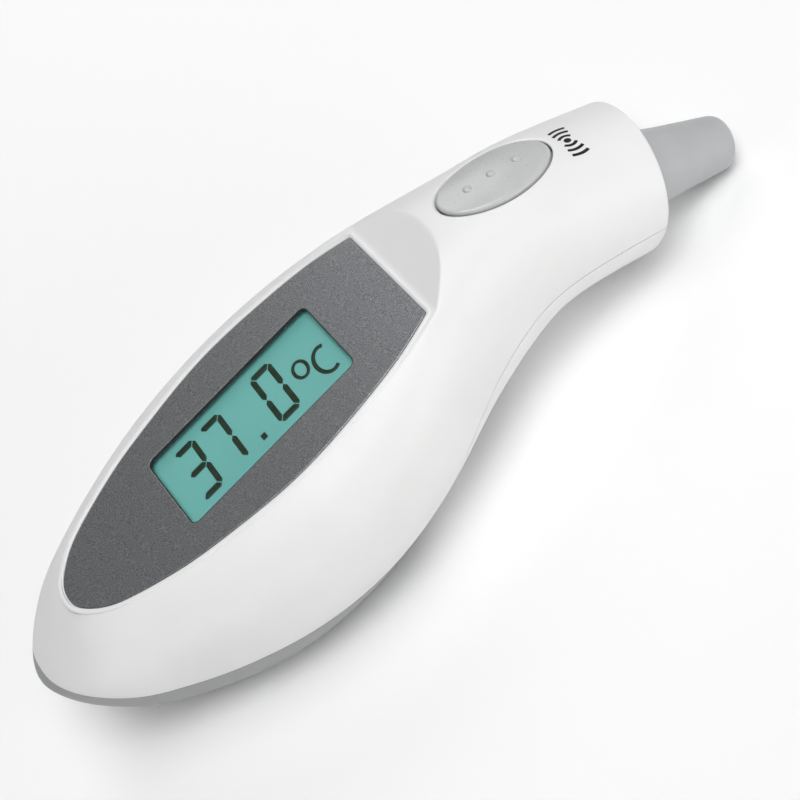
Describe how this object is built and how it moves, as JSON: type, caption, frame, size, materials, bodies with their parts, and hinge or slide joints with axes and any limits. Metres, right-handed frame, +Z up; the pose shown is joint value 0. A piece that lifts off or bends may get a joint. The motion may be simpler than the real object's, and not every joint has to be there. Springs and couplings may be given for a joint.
{
  "type": "digital ear thermometer",
  "caption": "Handheld ear thermometer: rounded handle with a grey display panel, scan button on the neck, angled conical probe and a slide-off battery cover.",
  "frame": {"origin": "centre of the bounding box in x and y, on the surface the thermometer lies on", "axes": "+X along the handle towards the probe, +Y across the handle, +Z up out of the display"},
  "size_m": [0.1332, 0.046, 0.0357],
  "materials": {
    "white_shell": "glossy moulded ABS",
    "panel_grey": "fine sparkle paint",
    "cover_grey": "satin moulded plastic",
    "probe_grey": "satin moulded plastic",
    "button_grey": "semi-gloss",
    "clear_plastic": "clear polished",
    "lcd": "teal liquid crystal display",
    "white_plastic": "plain moulded",
    "black_plastic": "plain moulded",
    "board": "solder mask",
    "chip": "epoxy package",
    "steel": "plated",
    "aluminium": "turned",
    "gold": "gold plated",
    "rubber": "elastomer",
    "film": "polyimide film",
    "cell_sleeve": "printed sleeve",
    "wire_red": "insulated wire",
    "wire_black": "insulated wire"
  },
  "bodies": {
    "casing": {"front_housing": "white_shell", "back_housing": "white_shell", "display_bezel": "panel_grey", "display_window": "clear_plastic", "probe_nozzle": "probe_grey", "probe_window": "clear_plastic", "sensor_holder": "white_plastic", "waveguide_tube": "gold", "thermopile_can": "steel", "thermal_block": "aluminium", "sensor_board": "board", "sensor_ribbon": "film", "lcd_glass": "lcd", "lcd_frame": "white_plastic", "backlight_guide": "clear_plastic", "backlight_led": "white_plastic", "zebra_strip": "rubber", "main_board": "board", "controller_chip": "chip", "amplifier_chip": "chip", "crystal_can": "steel", "capacitor_1": "gold", "capacitor_2": "gold", "buzzer": "black_plastic", "tact_switch": "black_plastic", "battery_tray": "black_plastic", "battery_1": "cell_sleeve", "battery_2": "cell_sleeve", "contact_bridge": "steel", "contact_plate": "steel", "contact_spring": "steel", "battery_lead_red": "wire_red", "battery_lead_black": "wire_black", "board_screw_1": "steel", "board_screw_2": "steel", "board_screw_3": "steel", "tray_screw_1": "steel", "tray_screw_2": "steel", "case_screw_1": "steel", "case_screw_2": "steel"},
    "cover": {"battery_cover": "cover_grey"},
    "button": {"scan_button": "button_grey"},
    "plunger": {"switch_plunger": "black_plastic"}
  },
  "joints": [
    {"name": "cover_slide", "type": "slide", "parent": "casing", "child": "cover", "axis": [-1, 0, 0], "range_m": [0, 0.012]},
    {"name": "scan_press", "type": "slide", "parent": "casing", "child": "button", "axis": [0.0523, 0, -0.9986], "range_m": [0, 0.0005], "stiffness_N_per_m": 2000, "springref_m": -0.0005},
    {"name": "plunger_press", "type": "slide", "parent": "casing", "child": "plunger", "axis": [0.0523, 0, -0.9986], "range_m": [0, 0.0005]}
  ],
  "couplings": [
    {"joint": "plunger_press", "follows": "scan_press", "ratio": 1}
  ]
}
